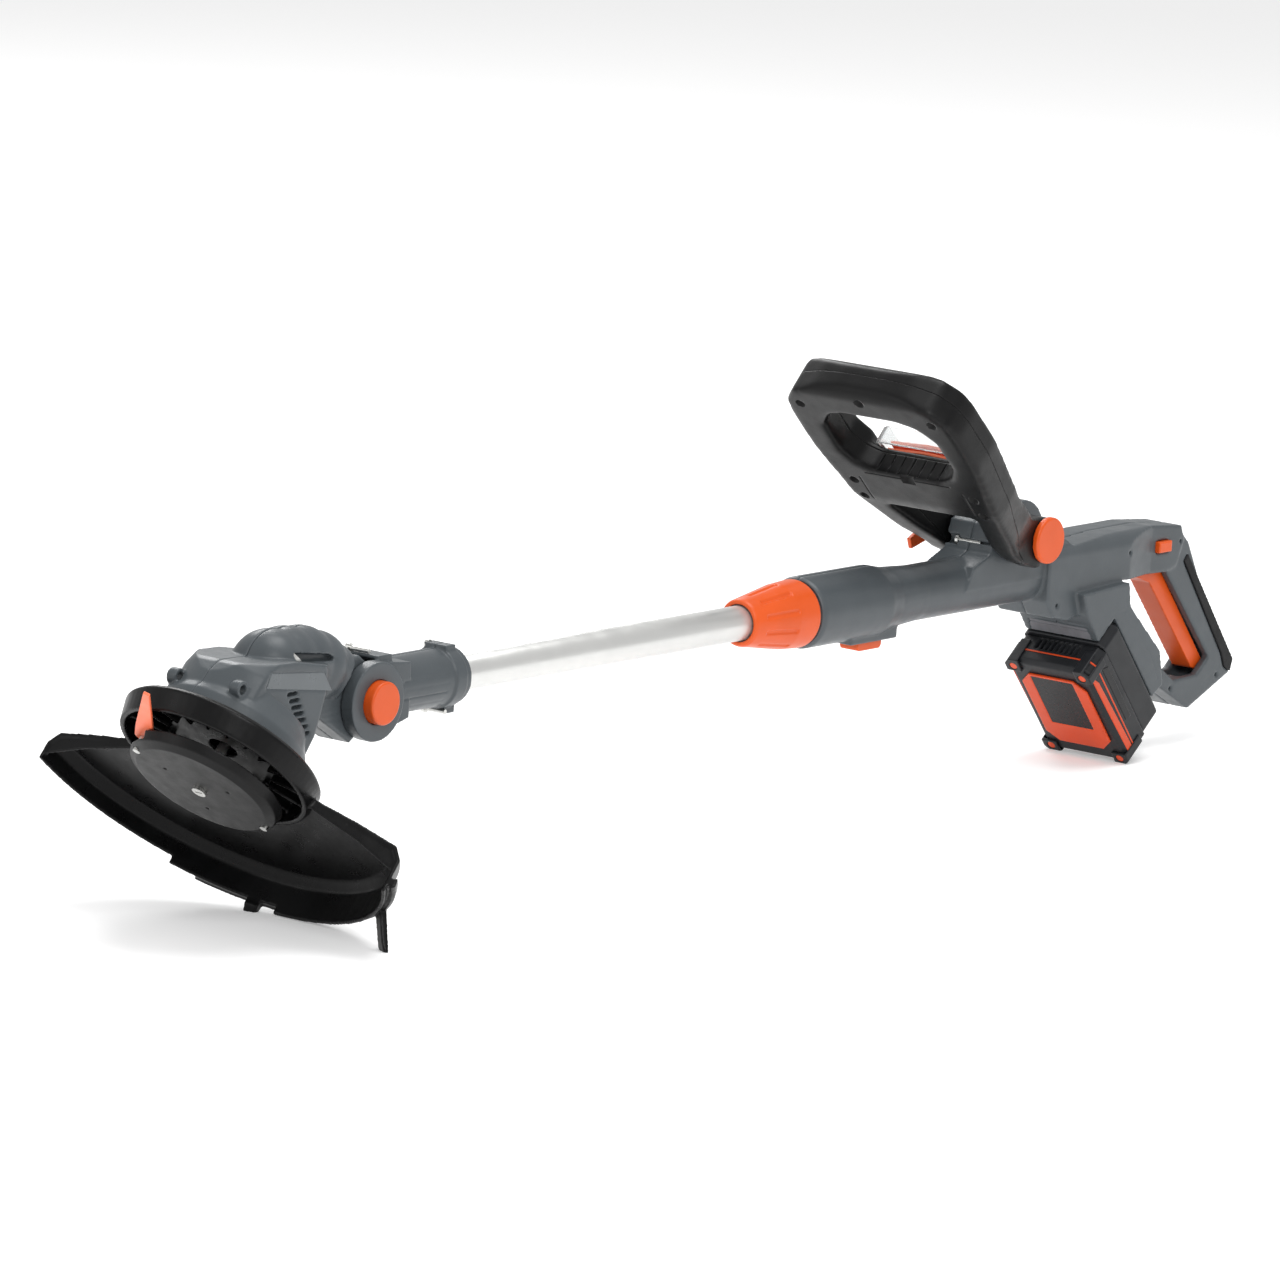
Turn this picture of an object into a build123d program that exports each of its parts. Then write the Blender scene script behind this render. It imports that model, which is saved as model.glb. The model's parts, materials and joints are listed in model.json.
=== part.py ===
from build123d import *
from math import cos, radians, sin
import os

# Cordless string trimmer, lying on the feet of its guard and on its battery.
# +X runs from the cutting head to the rear grip, +Z is up, the floor is z = 0.
# Every piece is drawn in one of four local frames and then set in place.

# ---- driving dimensions, in millimetres and degrees ----
PIVOT_X = -402.0          # tilt pivot of the head
AXIS_Z = 148.5            # shaft axis above the floor
PIVOT_DROP = 3.0          # tilt pivot below the shaft axis
HEAD_TILT = 40.0          # spindle axis from vertical
SPINDLE_BACK = 85.4       # tilt pivot behind the spindle axis, across it
SPINDLE_DROP = 130.6      # tilt pivot above the blade carrier, along the spindle
HANDLE_PIVOT = (734.0, 34.0)
HANDLE_TILT = 43.5
BATTERY_TOP = (804.0, -73.0)
BATTERY_TILT = 50.0

TUBE_R = 12.5
TUBE_WALL = 1.2
TUBE_START = 34.0
TUBE_END = 640.0
FIT = 0.05                # radial gap of a running fit
GAP = 0.4                 # gap between bodies that move past each other
WALL = 3.0

SOCKET_START = 492.0
SOCKET_R = 26.0
BODY_R = 20.3
BODY_BORE = 16.4

EAR_R = 27.0
EAR_IN = 14.8
EAR_OUT = 25.0
KNUCKLE_R = 24.0
BUTTON_R = 14.8

DISC_R = 55.5
DISC_TOP = 10.0
PIN_RING = 49.0
BLADE_LENGTH = 76.0
COLLAR_R = 72.0
COLLAR_LOW = 18.0
COLLAR_TOP = 36.0
GUARD_R = 141.0
GUARD_START = -62.0
GUARD_SWEEP = 152.0

GRIP_HALF = 16.0
BODY_HALF = 25.0
DOCK_HALF = 33.0
BOSS_HALF = 21.0

BATTERY_LENGTH = 98.0
BATTERY_HALF = 37.0
BATTERY_SPLIT = 26.0
BATTERY_THICK = 51.0
RAIL_HALF = 20.0
RAIL_TOP = 62.0


def tilted(origin, tilt, lean):
    """Frame at origin whose X axis dips by tilt towards the rear, or the front when lean is -1."""
    angle = radians(tilt)
    return Plane(origin=origin, x_dir=(lean * cos(angle), 0, -lean * sin(angle)),
                 z_dir=(sin(angle), 0, cos(angle)))


TOOL = Plane(origin=(PIVOT_X, 0, AXIS_Z))
PIVOT = Plane(origin=(PIVOT_X, 0, AXIS_Z - PIVOT_DROP))
head_axes = tilted((0, 0, 0), HEAD_TILT, 1)
HEAD = Plane(
    origin=PIVOT.origin - head_axes.x_dir * SPINDLE_BACK - head_axes.z_dir * SPINDLE_DROP,
    x_dir=head_axes.x_dir, z_dir=head_axes.z_dir)
HANDLE = tilted((PIVOT_X + HANDLE_PIVOT[0], 0, AXIS_Z + HANDLE_PIVOT[1]), HANDLE_TILT, -1)
DOCK = tilted((BATTERY_TOP[0], 0, BATTERY_TOP[1]), BATTERY_TILT, 1)
BATTERY = Plane(TOOL.location * DOCK.location)
DOCK_SIDE_VIEW = Plane(origin=DOCK.origin, x_dir=DOCK.x_dir, z_dir=(0, -1, 0))


# ---- shared helpers ----
def outline(points, inset=0.0, plane=Plane.XZ):
    """Closed polygon on a plane, shrunk by inset."""
    with BuildSketch(plane) as shape:
        with BuildLine():
            Polyline(*points, close=True)
        make_face()
        if inset:
            offset(amount=-inset, kind=Kind.INTERSECTION, mode=Mode.REPLACE)
    return shape.sketch


def slab(points, half, plane=Plane.XZ, mode=Mode.ADD):
    """Side outline as thick as half on both sides of its plane."""
    return extrude(outline(points, plane=plane), amount=half, both=True, mode=mode)


def rod(direction, radius, start, end, at=(0, 0), mode=Mode.ADD):
    """Round bar along x, y or z from start to end; at holds the two other coordinates."""
    place = {
        "x": Location((start, at[0], at[1]), (0, 90, 0)),
        "y": Location((at[0], start, at[1]), (-90, 0, 0)),
        "z": Location((at[0], at[1], start)),
    }[direction]
    with Locations(place):
        return Cylinder(radius, end - start, align=(Align.CENTER, Align.CENTER, Align.MIN), mode=mode)


def block(low, high, mode=Mode.ADD):
    """Box between two corners."""
    size = [b - a for a, b in zip(low, high)]
    with Locations(Location(tuple(low))):
        return Box(*size, align=(Align.MIN, Align.MIN, Align.MIN), mode=mode)


def turned(profile, axis=Axis.Z, sweep=360.0, mode=Mode.ADD):
    """Profile in the XZ plane turned about the X or Z axis."""
    return revolve(outline(profile), axis=axis, revolution_arc=sweep, mode=mode)


def coil(radius, wire, length, turns):
    """Helical spring standing on the XY plane."""
    with BuildPart() as spring:
        with BuildLine():
            path = Helix(pitch=length / turns, height=length, radius=radius)
        with BuildSketch(Plane(origin=path @ 0, z_dir=path % 0)):
            Circle(wire)
        sweep(path=path)
    return spring


def polar(radius, angle, height=0.0):
    """Point at an angle about the Z axis."""
    return (radius * cos(radians(angle)), radius * sin(radians(angle)), height)


def floor_in(frame):
    """Floor plane as a local frame sees it, facing up."""
    return Plane(frame.location.inverse() * Location((0, 0, 0)))


def finish(piece, name, frame):
    """Set a finished piece in its frame, label it and write its STEP file."""
    piece.part.move(frame.location)
    piece.part.label = name
    export_step(piece.part, f"parts/{name}.step")


def half_of(whole, side):
    """One moulded half of a two-part casing; side is -1 or 1."""
    with BuildPart() as shell:
        add(whole.part)
        split(bisect_by=Plane.XZ, keep=Keep.TOP if side < 0 else Keep.BOTTOM)
    return shell


os.makedirs("parts", exist_ok=True)

# ==== rear unit, in the TOOL frame: x from the tilt pivot, z from the shaft axis ====
BODY_SIDE = [(765, -18), (774, -31), (792, -35), (838, -25), (858, -12), (928, -13), (940, -10),
             (948, 10), (944, 20), (900, 24), (846, 23.5), (800, 20.3), (765, 18)]
BODY_PLAN = [(740, -BODY_HALF), (868, -BODY_HALF), (906, -17), (970, -17), (970, 17), (906, 17),
             (868, BODY_HALF), (740, BODY_HALF)]
GRIP_OUTER = [(890, -5), (900, 18), (942, 18), (956, 6), (977, -31), (1017, -82), (1023, -90),
              (1021, -100), (969, -122), (905, -88), (893, -60), (880, -20)]
GRIP_INNER = [(858, -12), (861, -30), (903, -68), (948, -98), (978, -97), (992, -85), (929, -14)]
GRIP_SPACE = [(932.5, -12.5), (993.5, -82), (998, -79), (942, -5)]
DOCK_OUTER = [(800, -15), (806, -31), (822.5, -53), (841, -37), (896, -102), (909, -94), (903, -68),
              (861, -30), (858, -12)]
SADDLE_SIDE = [(668, 0), (676, 16), (696, 24), (702, 44), (734, 58), (765, 40), (800, 20), (820, 0)]
LATCH_BOSS = (545.0, 600.0)
RAIL_BAY = [(-5.2, BATTERY_THICK - 1), (-5.2, RAIL_TOP + GAP), (110, RAIL_TOP + GAP),
            (110, BATTERY_THICK - 1)]
DOCK_BLOCK = [(-22, 29), (-5.2, 27), (-5.2, RAIL_TOP + GAP), (-17, RAIL_TOP + GAP)]
INLAY = [(955.5, -3), (977.5, -31), (1017.5, -82), (1023.8, -90), (1021, -99), (1013, -95),
         (1008, -84), (951, -8)]
INLAY_HALF = GRIP_HALF + 0.8
TRIGGER_PIN = (921.0, -4.0)
TRIGGER_HALF = 9.0
TRIGGER_SLOT = TRIGGER_HALF + 0.6
LOCK_OFF = ((912, 928), (2.2, 10.6))
REAR_SCREWS = [(700, 30), (768, 28), (778, -22), (868, 8), (893, -70), (944, -104),
               (1004, -100), (944, 8)]

with BuildPart() as body_bar:
    slab(BODY_SIDE, BODY_HALF)
    with BuildSketch(Plane.YZ.offset(750)):
        with Locations((0, 24.5 - 60)):
            RectangleRounded(2 * BODY_HALF, 120, 12)
    extrude(amount=215, mode=Mode.INTERSECT)
    extrude(outline(BODY_PLAN, plane=Plane.XY.offset(-60)), amount=120, mode=Mode.INTERSECT)

with BuildPart() as rear_housing:
    turned([(SOCKET_START, 0), (SOCKET_START, SOCKET_R - 2), (SOCKET_START + 3, SOCKET_R), (575, SOCKET_R),
            (592, 22.5), (626, BODY_R), (800, BODY_R), (800, 0)], Axis.X)
    slab(SADDLE_SIDE, BOSS_HALF)
    rod("y", SOCKET_R, -BOSS_HALF, BOSS_HALF, HANDLE_PIVOT)
    add(body_bar.part)
    block((LATCH_BOSS[0], -12, -28), (LATCH_BOSS[1], 12, -10))
    slab(DOCK_OUTER, DOCK_HALF)
    slab(GRIP_OUTER, GRIP_HALF)
    slab(GRIP_INNER, DOCK_HALF + 1, mode=Mode.SUBTRACT)
    # sleeve seat, tube bore and electronics bay
    rod("x", SOCKET_R - WALL, SOCKET_START - 1, 572, mode=Mode.SUBTRACT)
    rod("x", BODY_BORE, 571, 760, mode=Mode.SUBTRACT)
    slab([(769, -14), (846, -18), (846, 17), (769, 15)], BODY_HALF - WALL, mode=Mode.SUBTRACT)
    slab([(845, -8), (936, -9), (938, 12), (845, 12)], GRIP_HALF - WALL, mode=Mode.SUBTRACT)
    slab(GRIP_SPACE, GRIP_HALF - WALL, mode=Mode.SUBTRACT)
    # latch pocket, its slot to the sleeve and its slot through the floor
    block((LATCH_BOSS[0] + WALL, -9, -26.5), (LATCH_BOSS[1] - WALL, 9, -22), mode=Mode.SUBTRACT)
    block((571, -4.5, -24), (592, 4.5, -19), mode=Mode.SUBTRACT)
    block((559.8, -5, -29), (583, 5, -26), mode=Mode.SUBTRACT)
    # trigger slot, pin holes, lock-off window, clamp bolt hole
    slab([(884, -24), (884, -6), (938, -6), (1000, -79), (994, -98), (970, -106), (905, -30)], TRIGGER_SLOT,
         mode=Mode.SUBTRACT)
    rod("y", 2.5, -15, 15, TRIGGER_PIN, mode=Mode.SUBTRACT)
    block((LOCK_OFF[0][0] - GAP, -BODY_HALF - 1, LOCK_OFF[1][0] - GAP),
          (LOCK_OFF[0][1] + GAP, -10, LOCK_OFF[1][1] + GAP), mode=Mode.SUBTRACT)
    rod("y", 4.3, -BOSS_HALF - 1, BOSS_HALF + 1, HANDLE_PIVOT, mode=Mode.SUBTRACT)
    # battery channel, terminal block seat and rubber inlay seat
    slab(RAIL_BAY, RAIL_HALF + GAP, DOCK_SIDE_VIEW, mode=Mode.SUBTRACT)
    slab(DOCK_BLOCK, 27, DOCK_SIDE_VIEW, mode=Mode.SUBTRACT)
    slab(INLAY, INLAY_HALF, mode=Mode.SUBTRACT)
    for spot in REAR_SCREWS:
        rod("y", 1.7, -BODY_HALF, BODY_HALF, spot, mode=Mode.SUBTRACT)
        rod("y", 3.6, 10, DOCK_HALF + 1, spot, mode=Mode.SUBTRACT)

finish(half_of(rear_housing, -1), "rear_housing_left", TOOL)
finish(half_of(rear_housing, 1), "rear_housing_right", TOOL)

with BuildPart() as rear_screws:
    for spot in REAR_SCREWS:
        rod("y", 1.65, -9, 10.02, spot)
        rod("y", 3.2, 10.02, 12.5, spot)
finish(rear_screws, "rear_housing_screws", TOOL)

with BuildPart() as inlay:
    slab(INLAY, INLAY_HALF)
finish(inlay, "grip_inlay", TOOL)

with BuildPart() as trigger:
    slab([(888, -13.5), (905, -17.5), (918, -22), (980, -93), (986, -95), (993, -88), (931, -13.5)],
         TRIGGER_HALF)
    slab([(908, -14.5), (931, -14.5), (929, -2), (916, -0.4), (911, -5)], TRIGGER_HALF)
    rod("y", 2.55, -TRIGGER_HALF - 1, TRIGGER_HALF + 1, TRIGGER_PIN, mode=Mode.SUBTRACT)
finish(trigger, "trigger", TOOL)

with BuildPart() as trigger_pin:
    rod("y", 2.48, -14.9, 14.9, TRIGGER_PIN)
finish(trigger_pin, "trigger_pin", TOOL)

with BuildPart() as trigger_spring:
    with Locations(Location((952.5, 0, -38.0), (0, 50, 0))):
        add(coil(2.2, 0.4, 5.2, 4).part)
finish(trigger_spring, "trigger_spring", TOOL)

with BuildPart() as lock_off:
    block((LOCK_OFF[0][0], -20.5, LOCK_OFF[1][0]), (LOCK_OFF[0][1], -10.5, LOCK_OFF[1][1]))
    fillet(lock_off.faces().sort_by(Axis.Y)[0].edges(), 1.2)
finish(lock_off, "lock_off_button", TOOL)

with BuildPart() as switch:
    block((893, -7, -2), (910, 7, 10))
    block((909, -3, 2), (912, 3, 6))
finish(switch, "power_switch", TOOL)

with BuildPart() as board:
    block((778, -18, 2), (840, 18, 3.6))
    block((784, -14, 3.6), (800, -2, 12))
    rod("z", 5, 3.6, 15, (822, 6))
finish(board, "control_board", TOOL)

# ---- battery dock ----
with BuildPart() as dock_block:
    slab(DOCK_BLOCK, 26.98)
    for side in (-1, 1):
        block((-6, side * 8 - 1.2, RAIL_TOP - 6), (-1, side * 8 + 1.2, RAIL_TOP - 2))
finish(dock_block, "dock_block", BATTERY)

# ---- telescopic joint: sleeve, collet, collar and latch ----
SLEEVE_START = 469.0
SLEEVE_END = 568.0
COLLAR_START = 425.0
COLLAR_END = 490.8
SLEEVE_R = SOCKET_R - WALL - FIT
SLEEVE_NOSE_R = 16.0
COLLET_R = 14.9
with BuildPart() as sleeve:
    rod("x", SLEEVE_R, SOCKET_START + GAP, SLEEVE_END)
    rod("x", SLEEVE_NOSE_R, SLEEVE_START, SOCKET_START + 1)
    rod("x", TUBE_R + FIT, SLEEVE_START - 1, SLEEVE_END + 1, mode=Mode.SUBTRACT)
    block((561, -4.4, -24), (SLEEVE_END + 1, 4.4, -18.5), mode=Mode.SUBTRACT)
    block((561, -4.4, 18.5), (SLEEVE_END + 1, 4.4, 24), mode=Mode.SUBTRACT)
finish(sleeve, "guide_sleeve", TOOL)

with BuildPart() as collet:
    rod("x", COLLET_R, COLLAR_START + 3, SLEEVE_START - 0.1)
    rod("x", TUBE_R + FIT, COLLAR_START, SLEEVE_START, mode=Mode.SUBTRACT)
    for turn in range(2):
        with Locations(Location((COLLAR_START + 20, 0, 0), (turn * 90, 0, 0))):
            Box(36, 40, 1.4, mode=Mode.SUBTRACT)
finish(collet, "shaft_collet", TOOL)

FLUTES = 12
with BuildPart() as lock_collar:
    turned([(COLLAR_START, 0), (COLLAR_START, 15.6), (COLLAR_START + 2, 17), (COLLAR_END - 22, 23.4),
            (COLLAR_END - 2, 24.6), (COLLAR_END, 23.6), (COLLAR_END, 0)], Axis.X)
    rod("x", 13.4, COLLAR_START - 1, COLLAR_START + 4, mode=Mode.SUBTRACT)
    rod("x", COLLET_R + 0.1, COLLAR_START + 2.6, SLEEVE_START, mode=Mode.SUBTRACT)
    rod("x", SLEEVE_NOSE_R + 0.1, SLEEVE_START - 0.2, COLLAR_END + 1, mode=Mode.SUBTRACT)
    for index in range(FLUTES):
        with Locations(Rot(360 / FLUTES * index, 0, 0) * Pos(COLLAR_START + 30, 0, 23.3) * Rot(0, -5.5, 0)):
            Box(44, 5, 2, mode=Mode.SUBTRACT)
finish(lock_collar, "lock_collar", TOOL)

with BuildPart() as latch:
    block((556, -8.4, -26.2), (584, 8.4, -23.4))
    block((568.4, -4, -23.5), (582, 4, -20.2))
    block((566, -4.4, -29), (582, 4.4, -26))
    block((558, -8, -34), (586, 8, -28.4))
    fillet(latch.edges().filter_by(Axis.Y).group_by(Axis.Z)[0], 2.5)
finish(latch, "rotation_latch", TOOL)

with BuildPart() as latch_spring:
    with Locations(Location((584.6, 0, -24.3), (0, 90, 0))):
        add(coil(1.4, 0.35, 11.8, 8).part)
finish(latch_spring, "latch_spring", TOOL)

with BuildPart() as tube:
    rod("x", TUBE_R, TUBE_START, TUBE_END)
    rod("x", TUBE_R - TUBE_WALL, TUBE_START - 1, TUBE_END + 1, mode=Mode.SUBTRACT)
finish(tube, "shaft_tube", TOOL)

with BuildPart() as plug:
    rod("x", BODY_BORE - FIT, TUBE_END + 0.05, TUBE_END + 11)
    rod("x", TUBE_R - TUBE_WALL - 0.02, TUBE_END - 14, TUBE_END + 1)
    rod("x", 5, TUBE_END - 15, TUBE_END + 12, mode=Mode.SUBTRACT)
finish(plug, "tube_end_plug", TOOL)

# ==== battery, in the BATTERY frame: x slides off the dock, z towards the dock ====
CELL_R = 9.0
CELL_LENGTH = 65.0
BATTERY_SCREWS = [(6, -31), (6, 31), (92, -31), (92, 31)]
with BuildPart() as lower_shell:
    block((0, -BATTERY_HALF, 0), (BATTERY_LENGTH, BATTERY_HALF, BATTERY_SPLIT))
    chamfer(lower_shell.edges().filter_by(Axis.Z), 5)
    chamfer(lower_shell.faces().sort_by(Axis.Z)[0].edges(), 3)
    block((WALL, 3 - BATTERY_HALF, WALL), (BATTERY_LENGTH - WALL, BATTERY_HALF - 3, 40), mode=Mode.SUBTRACT)
    for x, y in BATTERY_SCREWS:
        rod("z", 3.2, 0.0, 5.6, (x, y))
        rod("z", 1.7, -1, 6, (x, y), mode=Mode.SUBTRACT)
finish(lower_shell, "battery_lower_shell", BATTERY)

with BuildPart() as upper_shell:
    block((-3, -BATTERY_HALF + 0.6, BATTERY_SPLIT), (BATTERY_LENGTH - 2, BATTERY_HALF - 0.6, BATTERY_THICK))
    chamfer(upper_shell.edges().filter_by(Axis.Z), 5)
    chamfer(upper_shell.faces().sort_by(Axis.Z)[-1].edges(), 4)
    block((-3.5, -RAIL_HALF, BATTERY_THICK - 8), (75, RAIL_HALF, RAIL_TOP))
    block((2, 3 - BATTERY_HALF, BATTERY_SPLIT - 1), (87.8, BATTERY_HALF - 3, BATTERY_THICK - WALL),
          mode=Mode.SUBTRACT)
    for side in (-1, 1):
        block((-6, side * 8 - 1.8, RAIL_TOP - 7), (12, side * 8 + 1.8, RAIL_TOP - 1), mode=Mode.SUBTRACT)
    with Locations([(-3, y, 38.5) for y in range(-24, 25, 6)]):
        Box(6, 3, 12, mode=Mode.SUBTRACT)
    block((89.8, -13.4, 29.5), (BATTERY_LENGTH, 13.4, 45.4), mode=Mode.SUBTRACT)
finish(upper_shell, "battery_upper_shell", BATTERY)

with BuildPart() as cells:
    for index in range(5):
        rod("y", CELL_R, -CELL_LENGTH / 2, CELL_LENGTH / 2, (12.4 + 18.2 * index, 15))
finish(cells, "battery_cells", BATTERY)

with BuildPart() as cover:
    block((12, -29, -2), (84, 29, -0.02))
    chamfer(cover.edges().filter_by(Axis.Z), 9)
    block((14, -19, -3), (64, 19, -1.2), mode=Mode.SUBTRACT)
finish(cover, "battery_cover", BATTERY)

with BuildPart() as label:
    block((14.2, -18.8, -1.7), (63.8, 18.8, -1.22))
finish(label, "battery_label", BATTERY)

with BuildPart() as bumpers:
    for x, side in ((0, -1), (0, 1), (BATTERY_LENGTH, -1), (BATTERY_LENGTH, 1)):
        inward = 1 if x == 0 else -1
        shape = [(x - inward * 1.2, side * 25), (x + inward * 11, side * 25), (x + inward * 11, side * 38.2),
                 (x + inward * 4, side * 38.2), (x - inward * 1.2, side * 33)]
        extrude(outline(shape, plane=Plane.XY.offset(-2.0)), amount=BATTERY_SPLIT - 4)
    block((-0.02, -BATTERY_HALF - 0.02, -0.02), (BATTERY_LENGTH + 0.02, BATTERY_HALF + 0.02, 40),
          mode=Mode.SUBTRACT)
    for x, y in BATTERY_SCREWS:
        rod("z", 3.4, -3, 0, (x, y), mode=Mode.SUBTRACT)
    split(bisect_by=floor_in(BATTERY), keep=Keep.TOP)
finish(bumpers, "battery_corner_guards", BATTERY)

with BuildPart() as battery_screws:
    for x, y in BATTERY_SCREWS:
        rod("z", 3.0, -1.6, -0.02, (x, y))
        rod("z", 1.65, -0.02, 5.4, (x, y))
finish(battery_screws, "battery_screws", BATTERY)

with BuildPart() as release:
    block((93.2, -13, 32), (BATTERY_LENGTH + 3, 13, 45))
    chamfer(release.edges().filter_by(Axis.Y).group_by(Axis.X)[-1], 2)
finish(release, "battery_release", BATTERY)

# ==== head sleeve and tilt joint, in the PIVOT frame: the origin is the tilt axis ====
SLEEVE_SCREWS = [(8, 31), (92, 24), (92, -20)]
SHAFT_LINE = (0, PIVOT_DROP)
with BuildPart() as head_sleeve:
    rod("x", 20, 20, 105, SHAFT_LINE)
    rod("x", 21.5, 88, 99, SHAFT_LINE)
    rod("y", EAR_R, -EAR_OUT, EAR_OUT)
    slab([(0, -EAR_R + 1), (40, -16), (40, 22), (0, EAR_R - 1)], 19.5)
    block((7, -17, 20), (22, 17, 29))
    block((88, -10, 20), (98, 10, 26))
    block((92, -7, -22), (104, 7, -12))
    # slot for the knuckle, tube bore, button bore and cap seat
    rod("y", KNUCKLE_R + 1.2, -EAR_IN, EAR_IN, mode=Mode.SUBTRACT)
    slab([(-30, 0), (0, 20), (19, 20), (19, 26.5), (6, 26.5), (6, 30), (-30, 30)], EAR_IN, mode=Mode.SUBTRACT)
    slab([(-30, -30), (14, -30), (14, -20), (6, 0), (0, 26), (-30, 24)], EAR_IN, mode=Mode.SUBTRACT)
    rod("x", TUBE_R + 0.02, TUBE_START, 106, SHAFT_LINE, mode=Mode.SUBTRACT)
    rod("y", BUTTON_R + 0.3, -EAR_OUT - 1, -EAR_IN + 1, mode=Mode.SUBTRACT)
    rod("y", 15, EAR_OUT - 3, EAR_OUT + 1, mode=Mode.SUBTRACT)
    rod("y", 8, EAR_IN - 1, EAR_OUT, mode=Mode.SUBTRACT)
    for spot in SLEEVE_SCREWS:
        rod("y", 1.7, -9, 14, spot, mode=Mode.SUBTRACT)
        rod("y", 3.6, 8, 14, spot, mode=Mode.SUBTRACT)
finish(half_of(head_sleeve, -1), "head_sleeve_left", PIVOT)
finish(half_of(head_sleeve, 1), "head_sleeve_right", PIVOT)

with BuildPart() as sleeve_screws:
    for spot in SLEEVE_SCREWS:
        rod("y", 1.65, -8.5, 8.02, spot)
        rod("y", 3.2, 8.02, 10.5, spot)
finish(sleeve_screws, "head_sleeve_screws", PIVOT)

with BuildPart() as button:
    rod("y", BUTTON_R, -EAR_OUT - 7, -EAR_IN - 4.4)
    rod("y", 7.9, -EAR_IN - 4.5, -4)
    fillet(button.edges().filter_by(GeomType.CIRCLE).sort_by(Axis.Y)[0], 1.5)
finish(button, "tilt_button", PIVOT)

with BuildPart() as button_spring:
    with Locations(Location((0, -3.4, 0), (-90, 0, 0))):
        add(coil(5.4, 0.6, 15.0, 5).part)
finish(button_spring, "tilt_button_spring", PIVOT)

with BuildPart() as tilt_pin:
    rod("y", 7.95, EAR_IN, EAR_OUT - 2.9)
    rod("y", 14.9, EAR_OUT - 2.95, EAR_OUT + 2)
    fillet(tilt_pin.edges().filter_by(GeomType.CIRCLE).sort_by(Axis.Y)[-1], 1.5)
finish(tilt_pin, "tilt_end_cap", PIVOT)

# ==== cutting head, in the HEAD frame: z is the spindle axis, the carrier stands on z = 0 ====
SKIRT_LOW = COLLAR_TOP + 0.4
KNUCKLE = (SPINDLE_BACK, SPINDLE_DROP)
HEAD_SIDE = [(-54, SKIRT_LOW), (-52, 56), (-46, 72), (-38, 82), (-24, 99), (-6, 119), (8, 132),
             (32, 143), (52, 149), (70, 148), (80, 152), (92, 110), (76, 98), (62, 90), (50, 66),
             (54, SKIRT_LOW)]
MOTOR_BAY_TOP = 112.0
HEAD_SCREWS = [(-30, 74), (40, 64), (30, 134), (66, 118)]
with BuildPart() as head_housing:
    turned([(0, SKIRT_LOW), (54, SKIRT_LOW), (53, 48), (47, 59), (44, 66), (0, 66)])
with BuildPart() as dome:
    slab(HEAD_SIDE, 35)
    turned([(0, 48), (50, 48), (49, 72), (42, 100), (30, 130), (22, 160), (0, 160)], mode=Mode.INTERSECT)
    slab([(40, 92), (92, 100), (100, 128), (84, 150), (40, 148)], 14.2)
    rod("y", KNUCKLE_R, -14.2, 14.2, KNUCKLE)
with BuildPart() as head_shell:
    add(head_housing.part)
    add(dome.part)
    rod("y", KNUCKLE_R, -14.2, 14.2, KNUCKLE)
    for side in (-1, 1):
        rod("y", KNUCKLE_R + 8, side * 30 - 15.6, side * 30 + 15.6, KNUCKLE, mode=Mode.SUBTRACT)
    # motor bay, fan bay, spring bore
    turned([(0, SKIRT_LOW - 1), (50, SKIRT_LOW - 1), (45, 54), (24, 60), (24, MOTOR_BAY_TOP), (0, MOTOR_BAY_TOP)],
           mode=Mode.SUBTRACT)
    rod("y", 8.2, -15, 13, KNUCKLE, mode=Mode.SUBTRACT)
    for side in (-1, 1):
        with Locations([Location((-4 + 4.8 * index, side * 36, 80 - 2.1 * index), (0, -40, 0))
                        for index in range(7)]):
            Box(11, 12, 2.6, mode=Mode.SUBTRACT)
    for spot in HEAD_SCREWS:
        rod("y", 1.7, -14, 60, spot, mode=Mode.SUBTRACT)
        rod("y", 3.6, 12, 60, spot, mode=Mode.SUBTRACT)
    # clips that hold the ends of a plant guard wire
    for side in (-1, 1):
        with Locations(Location((-44, side * 27, 56))):
            Cylinder(6, 8, rotation=(90, 0, 0))
            Box(20, 8, 8, align=(Align.MIN, Align.CENTER, Align.CENTER))
        with Locations(Location((-44, side * 27, 56))):
            Cylinder(3.2, 10, rotation=(90, 0, 0), mode=Mode.SUBTRACT)
finish(half_of(head_shell, -1), "head_housing_left", HEAD)
finish(half_of(head_shell, 1), "head_housing_right", HEAD)

with BuildPart() as head_screws:
    for spot in HEAD_SCREWS:
        rod("y", 1.65, -9, 12.02, spot)
        rod("y", 3.2, 12.02, 14.5, spot)
finish(head_screws, "head_housing_screws", HEAD)

MOTOR_R = 22.0
MOTOR_LOW = 62.0
SHAFT_R = 4.0
with BuildPart() as motor:
    rod("z", MOTOR_R, MOTOR_LOW, MOTOR_BAY_TOP - 4)
    rod("z", 8, MOTOR_BAY_TOP - 5, MOTOR_BAY_TOP - 0.5)
    chamfer(motor.edges().filter_by(GeomType.CIRCLE).group_by(Axis.Z)[0], 1.5)
    rod("z", SHAFT_R + FIT, MOTOR_LOW - 1, MOTOR_BAY_TOP - 8, mode=Mode.SUBTRACT)
finish(motor, "motor", HEAD)

with BuildPart() as bearing:
    rod("z", 11, 54.5, MOTOR_LOW - 0.5)
    rod("z", SHAFT_R + FIT, 54, MOTOR_LOW, mode=Mode.SUBTRACT)
finish(bearing, "spindle_bearing", HEAD)

with BuildPart() as bearing_seat:
    rod("z", 23.8, 56, MOTOR_LOW - 0.02)
    rod("z", 11.02, 55, MOTOR_LOW, mode=Mode.SUBTRACT)
    with PolarLocations(17, 3):
        Cylinder(1.6, 130, mode=Mode.SUBTRACT)
finish(bearing_seat, "motor_plate", HEAD)

with BuildPart() as spindle:
    rod("z", SHAFT_R, 3.0, MOTOR_BAY_TOP - 9)
    rod("z", 2.1, 2, 12, mode=Mode.SUBTRACT)
finish(spindle, "motor_shaft", HEAD)

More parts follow.
